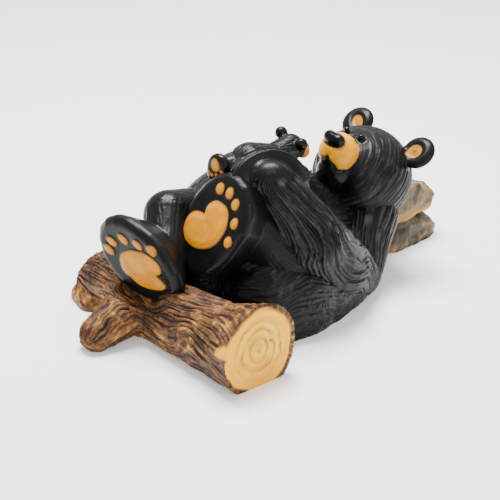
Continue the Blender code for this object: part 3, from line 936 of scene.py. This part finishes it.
def cub():
    """The cub lying on the belly, with one sole turned towards the bear's feet."""
    form = Form()
    form.limb((CUB_RUMP, 12), (CUB_CHEST, 10), (CUB_SKULL, 7.8))
    form.ball(CUB_SNOUT, 4.3)
    form.ball(CUB_NOSE, 2.2)
    form.hull((CUB_SKULL, 6.5), (CUB_SNOUT, 3.8))
    ear_places = []
    for side in (-1, 1):
        ear = CUB_SKULL + vec(-0.4 * side, side * 7 - (side < 0), 5.2 + 1.8 * side)
        ear_places.append(ear)
        form.ball(ear, CUB_EAR_RADIUS)
        form.hull((ear, 2.6), (CUB_SKULL, 4))
        form.limb((CUB_RUMP, 9), (vec(-40, -6 + side * 8, 86), 8))
        form.limb((CUB_CHEST, 8), (vec(2, -8 + side * 12, 78), 6))
    turns = [2 * pi * step / CUB_FOOT_STEPS for step in range(CUB_FOOT_STEPS)]
    edge = [CUB_FOOT + vec(0, 4.9 * sin(a) - 0.8 * cos(a), 5.4 * cos(a)) for a in turns]
    form.hull(*[(place, CUB_FOOT_EDGE) for place in edge])
    skin = Skin(form, "bear_cub", voxel=0.5, rounds=5)
    places = skin.places
    back = Bone(CUB_SKULL, CUB_RUMP, radii=(9, 12), columns=26, length=8, depths=(0.2, 0.5, 0.2))
    leg_fur = Bone(
        CUB_RUMP, vec(-40, -6, 86), radii=(10, 9), columns=20, length=7, depths=(0.1, 0.4, 0.2), bend=0.5,
    )
    height, share = fur(places, [back, leg_fur], seed=8, sharp=1.2)
    snout_gap = distance(places, CUB_SNOUT)
    nose_gap = distance(places, CUB_NOSE)
    gold = np.where(places[:, 0] > 11, np.minimum(5.0 - snout_gap, nose_gap - 2.7), NO_GOLD)
    gloss = smooth_step(-nose_gap, -3.0, -2.6)
    bare = smooth_step(-snout_gap, -5.4, -4.7)
    for ear in ear_places:
        bare = np.maximum(bare, smooth_step(-distance(places, ear), -4.3, -3.6))
    y, z = places[:, 1], places[:, 2]
    pad = union([np.hypot(y - a, z - b) - radius for a, b, radius in CUB_PAD], 0.6)
    toes = [np.hypot(y - a, z - b) - CUB_TOE_RADIUS for a, b in CUB_TOES]
    on_sole = (skin.normals[:, 0] < -0.35) & (places[:, 0] < -45)
    inside = np.where(on_sole, -np.minimum(pad, np.minimum.reduce(toes)), NO_GOLD)
    gold = np.maximum(gold, inside)
    bare = np.maximum(bare, smooth_step(-distance(places, CUB_FOOT), -11, -10))
    skin.push(height * (1 - bare) + 0.5 * smooth_step(inside, -0.4, 0.4))
    skin.values = {"fur": share * (1 - bare), "gold": gold, "gloss": np.maximum(gloss, bare * 0.4)}
    skin.finish(COAT, "black_paint")


# The log

def log_section(centre, turn, radius, slant):
    """One section of the log, squarer below than above, slanted at the far end."""
    points = []
    for step in range(LOG_STEPS):
        a = 2 * pi * step / LOG_STEPS
        squareness = 1 if sin(a) > 0 else 0.45
        x = radius * abs(cos(a)) ** squareness * (1 if cos(a) > 0 else -1)
        z = radius * sin(a)
        points.append(centre + turn @ Vector((x, -slant * (z + radius), z)))
    return points


def log_form(turn, run):
    form = Form()
    middle = (LOG_NARROW + LOG_FAR) / 2
    stations = ((0, LOG_NEAR, 0), (0.18, LOG_NARROW, 0), (0.55, middle, 0), (1, LOG_FAR, 0.35))
    sections = []
    for share, radius, slant in stations:
        bow = Vector((-3.5 * sin(pi * share), 0, radius - LOG_SINK))
        sections.append(log_section(LOG_PLACE + run * LOG_LENGTH * (share - 0.5) + bow, turn, radius, slant))
    for first, second in zip(sections, sections[1:]):
        form.add(first + second)
    flare = LOG_PLACE + run * LOG_LENGTH * 0.42
    form.hull((flare + vec(-10, 6, 2), 8), (flare + vec(-14, -6, 1), 8.5), (flare + vec(-4, -4, 6), 9))
    form.hull((STUB_ROOT, STUB_RADIUS * 1.22), (STUB_TIP, STUB_RADIUS * 0.8))
    return form


def press_under_foot(skin):
    """Presses the log down where the far paw rests on it."""
    a, b, c = seen_from(skin.places, FEET["far"].centre, foot_axes("far"))
    below = 21 * np.sqrt(np.clip(1 - (a / 33) ** 2, 0, 1)) - b
    pressed = np.clip(below, 0, 9) * smooth_step(c, -4, 0)
    pressed = pressed * (1 - smooth_step(c, 3, 16)) * smooth_step(b, 0, 5)
    skin.write(skin.places + pressed[:, None] * np.array(foot_axes("far").col[1]))


def log():
    """The log with its branch stub, its bark in strokes, a knot and the sawn end."""
    turn = Matrix.Rotation(LOG_TURN, 3, "Z")
    run = turn @ Vector((0, 1, 0))
    skin = Skin(log_form(turn, run), "log", voxel=0.62, rounds=5)
    places = skin.places
    u, v, w = seen_from(places, LOG_PLACE + vec(-2, 0, 19), turn)
    stub = Bone(STUB_ROOT, STUB_TIP, radii=(13.7, 9.5), columns=10, length=20, depths=())
    stub_u, stub_turn, stub_gap = stub.see(places)
    on_stub = smooth_step(-stub_gap, -3.5, -0.5) * smooth_step(stub_u, 8, 14)

    sway = noise3(places * np.array((1, 0.4, 1)), 15, 2)
    jitter = noise3(places * np.array((1, 0.5, 1)), 4, 12)
    knot_gap = np.hypot(places[:, 1] - KNOT_Y, places[:, 2] - KNOT_Z)
    knot_side = skin.normals[:, 0] < -0.1
    pull = 1.6 * peak(knot_gap, 0, 9) * knot_side
    angle = np.arctan2(w, u) / (2 * pi)
    column = angle * BARK_COLUMNS + 0.5 * np.sin(v / 12) + 0.8 * sway + 0.2 * jitter + pull
    stub_column = stub_turn * STUB_COLUMNS + 0.5 * sway + 0.2 * jitter
    coarse_stub = strokes(stub_u, stub_column, 26, 31, 0.13)
    fine_stub = strokes(stub_u, stub_column * 2.1, 12, 33, 0.17)
    coarse = np.where(on_stub > 0.5, coarse_stub, strokes(v, column, 30, 32, 0.13))
    fine = np.where(on_stub > 0.5, fine_stub, strokes(v, column * 2.1, 15, 34, 0.17))
    ridge = 0.55 * coarse + 0.45 * fine
    knot = knot_side * (0.7 * peak(knot_gap, KNOT_RADIUS, 1.1) - 0.5 * peak(knot_gap, 0, 3))

    near_end = v < CUT_END + 4.5
    end_u, end_w = u - CUT_MIDDLE[0], w - CUT_MIDDLE[1]
    torn = 1.3 * noise3(places, 6, 9) + 2.2 * np.exp(-((end_u + 20) ** 2 + (end_w + 6) ** 2) / 16)
    ring = np.hypot(end_u, end_w * 0.97) + 1.5 * noise3(places, 16, 9)
    facing = skin.normals @ np.array(run)
    cut = np.where(near_end & (facing < -0.25), CUT_RADIUS + torn - ring, -6)
    tongue = 1 - np.hypot((v - CUT_END) / 11, (end_w - 5 + 0.3 * (v - CUT_END)) / 4.5)
    cut = np.where(end_u < -12, np.maximum(cut, 4 * tongue), cut)
    on_cut = smooth_step(cut, -0.3, 0.8)
    growth = 0.6 * np.sin(ring * RING_RATE) * (1 + noise3(places, 9, 4)) + 0.5 * noise3(places, 7, 3)
    crack = peak(end_u - 8 - 0.3 * end_w, 0, 0.8) * smooth_step(end_w, -12, -4) * (end_w < 8)

    far_end = facing > 0.7
    collar = peak(stub_gap, 2.2, 1.3) * (stub_u > 2) * (1 - on_stub)
    calm = np.where(far_end, 0.3, 0.3 + 0.7 * smooth_step(v, CUT_END, CUT_END + 8))
    rough = 0.5 * noise3(places, 3, 5)
    bark = ridge * BARK_RELIEF - 1.2 + 1.1 * knot + 1.3 * collar + 0.4 * rough
    skin.push(bark * (1 - on_cut) * calm + on_cut * (growth * 0.6 - crack * 0.9))
    press_under_foot(skin)
    # How lit the bark is painted: lighter on the ridges and the knot's rim, darker in the cuts, partly
    # painted shade and highlight
    lit = np.clip(ridge * 0.95 + 0.25 * knot + 0.08 * noise3(skin.places, 20, 6), 0, 1)
    skin.values = {"ridge": lit, "cut": cut, "ring": ring + crack * 1.5}
    skin.finish(BARK, "bark_paint")


# The stones

def stone_places(size, crown):
    """The corners of a rough block, its top cut back to the share crown on the side away from the head."""
    length, width, height = size
    places = []
    for i, j in ((0, 0), (1, 0), (1, 1), (0, 1)):
        top_x = (0.03 + i * (crown - 0.03)) * length
        places.append(vec(i * length, j * width, 0))
        places.append(vec(top_x, (0.06 + j * 0.84) * width, height * (1 - 0.4 * i)))
        places.append(vec(i * 1.02 * length, (0.02 + j * 0.96) * width, height * (0.55 - 0.1 * i)))
    return places


def facets_of(places, middle, seed):
    """How far each place stands out past the chipped facets of a stone."""
    facets = np.zeros(len(places))
    for n in range(STONE_FACETS):
        aim = [hash01(n, k, seed) for k in (1, 2, 3)]
        toward = Vector((aim[0] - 0.5, aim[1] - 0.5, aim[2] - 0.4)).normalized()
        reach = (places - np.array(middle)) @ np.array(toward)
        facets = np.maximum(facets, reach - np.quantile(reach, 0.965 + 0.02 * hash01(n, 4, seed)))
    return facets


def stone(name, corner, size, crown, seed):
    """One stone, placed by its corner towards the head and the near side."""
    is_lower = name == "lower_stone"
    inset = Vector(size) / 2
    shrink = 1 - STONE_EDGE / min(inset)
    form = Form()
    form.hull(*[(corner + inset + (p - inset) * shrink, STONE_EDGE) for p in stone_places(size, crown)])
    skin = Skin(form, name, voxel=0.8, rounds=4)
    facets = facets_of(skin.places, corner + inset, seed)
    layers = 0.7 * np.abs(np.sin(skin.places[:, 2] / 2.6 + 1.2 * noise3(skin.places, 12, 2)))
    rough = 0.9 * noise3(skin.places, 8, seed) + 0.4 * noise3(skin.places, 3, seed + 1)
    skin.push(-0.8 * facets + rough + layers - 0.8)
    x, z = skin.places[:, 0], skin.places[:, 2]
    seam = peak(z, SEAM_HEIGHT, SEAM_WIDTH)
    seam = np.maximum(seam, 0.6 * (facets > 1.2))
    seam = np.maximum(seam, 0.75 * smooth_step(corner.x + 13 - x, 0, 5) * (z < 30))
    # Painted shade: a dark band on the lower stone's side towards the head and a dark streak on the upper
    # stone
    along = x - corner.x + 2.0 * noise3(skin.places, 7, 11)
    if is_lower:
        shade = smooth_step(along, 27, 22) * smooth_step(z, 3, 9) * smooth_step(z, 22, 17)
    else:
        shade_streak = 0.85 * peak(along - 30 - 0.6 * (z - 30), 0, 3.4)
        shade = shade_streak * smooth_step(z, 23, 27) * smooth_step(z, 41, 37)
    skin.values = {"seam": seam, "low": np.full(len(z), float(is_lower)), "shade": shade}
    skin.finish(STONE, "stone_paint")


def stones():
    """Two stones under the head, one on the other."""
    rise = LOWER_STONE[2] - STONE_LAP
    drop = HEAD.z - (rise + UPPER_STONE[2])
    start_x = HEAD.x + (HEAD_RADIUS ** 2 - drop ** 2) ** 0.5 - HEAD_BITE
    start = vec(start_x, HEAD.y - LOWER_STONE[1] * 0.21, 0)
    stone("lower_stone", start - vec(0, 0, STONE_SINK), LOWER_STONE, crown=1.0, seed=41)
    stone("upper_stone", start + vec(0, 3, rise), UPPER_STONE, crown=0.72, seed=42)


torso()
near_arm()
leg("far", FAR_LEG_COAT_DIMMED_FOR_LIGHT)
leg("near", COAT)
head()
cub()
log()
stones()


# Floor, light and camera, in metres

FLOOR_HALF = 3.0
FLOOR_GREYS = ((0.86, 0.86, 0.86), (0.88, 0.88, 0.88))
FLOOR_GLOW = 0.3
WHITE = (1, 1, 1, 1)
CAMERA_PLACE = (-0.58206, -0.54422, 0.39128)
CAMERA_AIM = (0.6535, 0.6311, -0.4179)
CAMERA_LENS = 106.14
CAMERA_SENSOR = 36


def floor():
    t = Tree("pale_floor")
    colour = t.mix(t.span(t.noise(3, 2), 0.3, 0.7), *FLOOR_GREYS)
    t.put(t.shader.inputs["Emission Color"], WHITE)
    t.put(t.shader.inputs["Emission Strength"], FLOOR_GLOW)
    mat = t.finish(colour, 0.6, t.bump(t.noise(400, 2), 0.05, 0.0002))
    mesh = bpy.data.meshes.new("floor")
    corners = [(x * FLOOR_HALF, y * FLOOR_HALF, 0) for x, y in ((-1, -1), (1, -1), (1, 1), (-1, 1))]
    mesh.from_pydata(corners, [], [(0, 1, 2, 3)])
    obj = bpy.data.objects.new("floor", mesh)
    bpy.context.collection.objects.link(obj)
    mesh.materials.append(mat)


def area_light(name, place, target, size, energy):
    light = bpy.data.lights.new(name, "AREA")
    light.shape = "RECTANGLE"
    light.size, light.size_y = size
    light.energy = energy
    obj = bpy.data.objects.new(name, light)
    obj.location = place
    obj.rotation_euler = (Vector(target) - Vector(place)).to_track_quat("-Z", "Y").to_euler()
    bpy.context.collection.objects.link(obj)


def studio():
    world = bpy.data.worlds.new("studio")
    world.use_nodes = True
    world.node_tree.nodes["Background"].inputs["Color"].default_value = WHITE
    world.node_tree.nodes["Background"].inputs["Strength"].default_value = 1.0
    bpy.context.scene.world = world
    area_light("overhead", place=(0.1, 0.2, 0.95), target=(0, 0, 0.04), size=(0.6, 0.4), energy=34)
    area_light("fill", place=(-0.35, -1.1, 0.5), target=(0, 0, 0.05), size=(0.6, 0.5), energy=4)
    camera = bpy.data.cameras.new("camera")
    camera.sensor_width = CAMERA_SENSOR
    camera.lens = CAMERA_LENS
    obj = bpy.data.objects.new("camera", camera)
    obj.location = CAMERA_PLACE
    obj.rotation_euler = Vector(CAMERA_AIM).to_track_quat("-Z", "Y").to_euler()
    bpy.context.collection.objects.link(obj)
    bpy.context.scene.camera = obj


floor()
studio()
